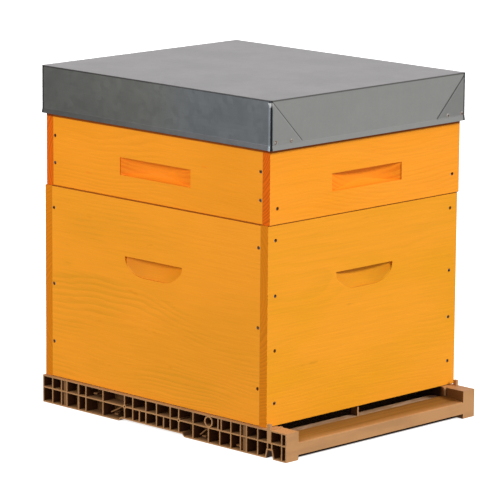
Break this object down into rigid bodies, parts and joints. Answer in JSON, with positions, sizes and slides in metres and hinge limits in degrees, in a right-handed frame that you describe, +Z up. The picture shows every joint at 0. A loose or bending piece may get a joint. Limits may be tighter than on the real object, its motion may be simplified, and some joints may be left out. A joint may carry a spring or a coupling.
{
  "type": "beehive",
  "caption": "Beehive with a ribbed plastic floor, a deep brood box, a shallower honey super, hanging frames, a crown board and a flat folded-metal roof.",
  "frame": {"origin": "middle of the whole hive's footprint, on the ground", "axes": "+Z up, the entrance and landing board face -Y, the frames run along Y and the hive's width is along X"},
  "size_m": [0.4454, 0.5565, 0.55],
  "materials": {
    "floor_plastic": "moulded tan plastic, satin",
    "brood_wood": "pine with a translucent honey-orange stain",
    "super_wood": "pine with a translucent orange stain",
    "frame_wood": "bare pale pine",
    "wax": "beeswax foundation",
    "rest_metal": "galvanised strip",
    "screws": "dulled zinc-plated",
    "crown_wood": "bare plywood",
    "roof_metal": "dull galvanised sheet",
    "roof_board": "pressed fibre board",
    "rivets": "blind rivets"
  },
  "bodies": {
    "floor": {"floor_rail_left": "floor_plastic", "floor_rail_right": "floor_plastic", "floor_rail_back": "floor_plastic", "landing_board": "floor_plastic", "floor_grille": "floor_plastic"},
    "brood_box": {"brood_box_front": "brood_wood", "brood_box_back": "brood_wood", "brood_box_left": "brood_wood", "brood_box_right": "brood_wood", "brood_box_frame_rests": "rest_metal", "brood_box_screws": "screws"},
    "super": {"super_front": "super_wood", "super_back": "super_wood", "super_left": "super_wood", "super_right": "super_wood", "super_frame_rests": "rest_metal", "super_screws": "screws"},
    "crown_board": {"crown_board_panel": "crown_wood", "crown_board_battens": "crown_wood"},
    "roof": {"roof_sheet": "roof_metal", "roof_board": "roof_board", "roof_rivets": "rivets"},
    "brood_frame_01": {"brood_frame_01": "frame_wood", "brood_foundation_01": "wax"},
    "brood_frame_02": {"brood_frame_02": "frame_wood", "brood_foundation_02": "wax"},
    "brood_frame_03": {"brood_frame_03": "frame_wood", "brood_foundation_03": "wax"},
    "brood_frame_04": {"brood_frame_04": "frame_wood", "brood_foundation_04": "wax"},
    "brood_frame_05": {"brood_frame_05": "frame_wood", "brood_foundation_05": "wax"},
    "brood_frame_06": {"brood_frame_06": "frame_wood", "brood_foundation_06": "wax"},
    "brood_frame_07": {"brood_frame_07": "frame_wood", "brood_foundation_07": "wax"},
    "brood_frame_08": {"brood_frame_08": "frame_wood", "brood_foundation_08": "wax"},
    "brood_frame_09": {"brood_frame_09": "frame_wood", "brood_foundation_09": "wax"},
    "brood_frame_10": {"brood_frame_10": "frame_wood", "brood_foundation_10": "wax"},
    "super_frame_01": {"super_frame_01": "frame_wood", "super_foundation_01": "wax"},
    "super_frame_02": {"super_frame_02": "frame_wood", "super_foundation_02": "wax"},
    "super_frame_03": {"super_frame_03": "frame_wood", "super_foundation_03": "wax"},
    "super_frame_04": {"super_frame_04": "frame_wood", "super_foundation_04": "wax"},
    "super_frame_05": {"super_frame_05": "frame_wood", "super_foundation_05": "wax"},
    "super_frame_06": {"super_frame_06": "frame_wood", "super_foundation_06": "wax"},
    "super_frame_07": {"super_frame_07": "frame_wood", "super_foundation_07": "wax"},
    "super_frame_08": {"super_frame_08": "frame_wood", "super_foundation_08": "wax"},
    "super_frame_09": {"super_frame_09": "frame_wood", "super_foundation_09": "wax"}
  },
  "joints": [
    {"name": "brood_box_lift", "type": "slide", "parent": "floor", "child": "brood_box", "axis": [0, 0, 1], "range_m": [0, 0.15]},
    {"name": "super_lift", "type": "slide", "parent": "brood_box", "child": "super", "axis": [0, 0, 1], "range_m": [0, 0.2]},
    {"name": "crown_board_lift", "type": "slide", "parent": "super", "child": "crown_board", "axis": [0, 0, 1], "range_m": [0, 0.12]},
    {"name": "roof_lift", "type": "slide", "parent": "crown_board", "child": "roof", "axis": [0, 0, 1], "range_m": [0, 0.2]},
    {"name": "brood_frame_01_lift", "type": "slide", "parent": "brood_box", "child": "brood_frame_01", "axis": [0, 0, 1], "range_m": [0, 0.007]},
    {"name": "brood_frame_02_lift", "type": "slide", "parent": "brood_box", "child": "brood_frame_02", "axis": [0, 0, 1], "range_m": [0, 0.007]},
    {"name": "brood_frame_03_lift", "type": "slide", "parent": "brood_box", "child": "brood_frame_03", "axis": [0, 0, 1], "range_m": [0, 0.007]},
    {"name": "brood_frame_04_lift", "type": "slide", "parent": "brood_box", "child": "brood_frame_04", "axis": [0, 0, 1], "range_m": [0, 0.007]},
    {"name": "brood_frame_05_lift", "type": "slide", "parent": "brood_box", "child": "brood_frame_05", "axis": [0, 0, 1], "range_m": [0, 0.007]},
    {"name": "brood_frame_06_lift", "type": "slide", "parent": "brood_box", "child": "brood_frame_06", "axis": [0, 0, 1], "range_m": [0, 0.007]},
    {"name": "brood_frame_07_lift", "type": "slide", "parent": "brood_box", "child": "brood_frame_07", "axis": [0, 0, 1], "range_m": [0, 0.007]},
    {"name": "brood_frame_08_lift", "type": "slide", "parent": "brood_box", "child": "brood_frame_08", "axis": [0, 0, 1], "range_m": [0, 0.007]},
    {"name": "brood_frame_09_lift", "type": "slide", "parent": "brood_box", "child": "brood_frame_09", "axis": [0, 0, 1], "range_m": [0, 0.007]},
    {"name": "brood_frame_10_lift", "type": "slide", "parent": "brood_box", "child": "brood_frame_10", "axis": [0, 0, 1], "range_m": [0, 0.007]},
    {"name": "super_frame_01_lift", "type": "slide", "parent": "super", "child": "super_frame_01", "axis": [0, 0, 1], "range_m": [0, 0.007]},
    {"name": "super_frame_02_lift", "type": "slide", "parent": "super", "child": "super_frame_02", "axis": [0, 0, 1], "range_m": [0, 0.007]},
    {"name": "super_frame_03_lift", "type": "slide", "parent": "super", "child": "super_frame_03", "axis": [0, 0, 1], "range_m": [0, 0.007]},
    {"name": "super_frame_04_lift", "type": "slide", "parent": "super", "child": "super_frame_04", "axis": [0, 0, 1], "range_m": [0, 0.007]},
    {"name": "super_frame_05_lift", "type": "slide", "parent": "super", "child": "super_frame_05", "axis": [0, 0, 1], "range_m": [0, 0.007]},
    {"name": "super_frame_06_lift", "type": "slide", "parent": "super", "child": "super_frame_06", "axis": [0, 0, 1], "range_m": [0, 0.007]},
    {"name": "super_frame_07_lift", "type": "slide", "parent": "super", "child": "super_frame_07", "axis": [0, 0, 1], "range_m": [0, 0.007]},
    {"name": "super_frame_08_lift", "type": "slide", "parent": "super", "child": "super_frame_08", "axis": [0, 0, 1], "range_m": [0, 0.007]},
    {"name": "super_frame_09_lift", "type": "slide", "parent": "super", "child": "super_frame_09", "axis": [0, 0, 1], "range_m": [0, 0.007]}
  ]
}
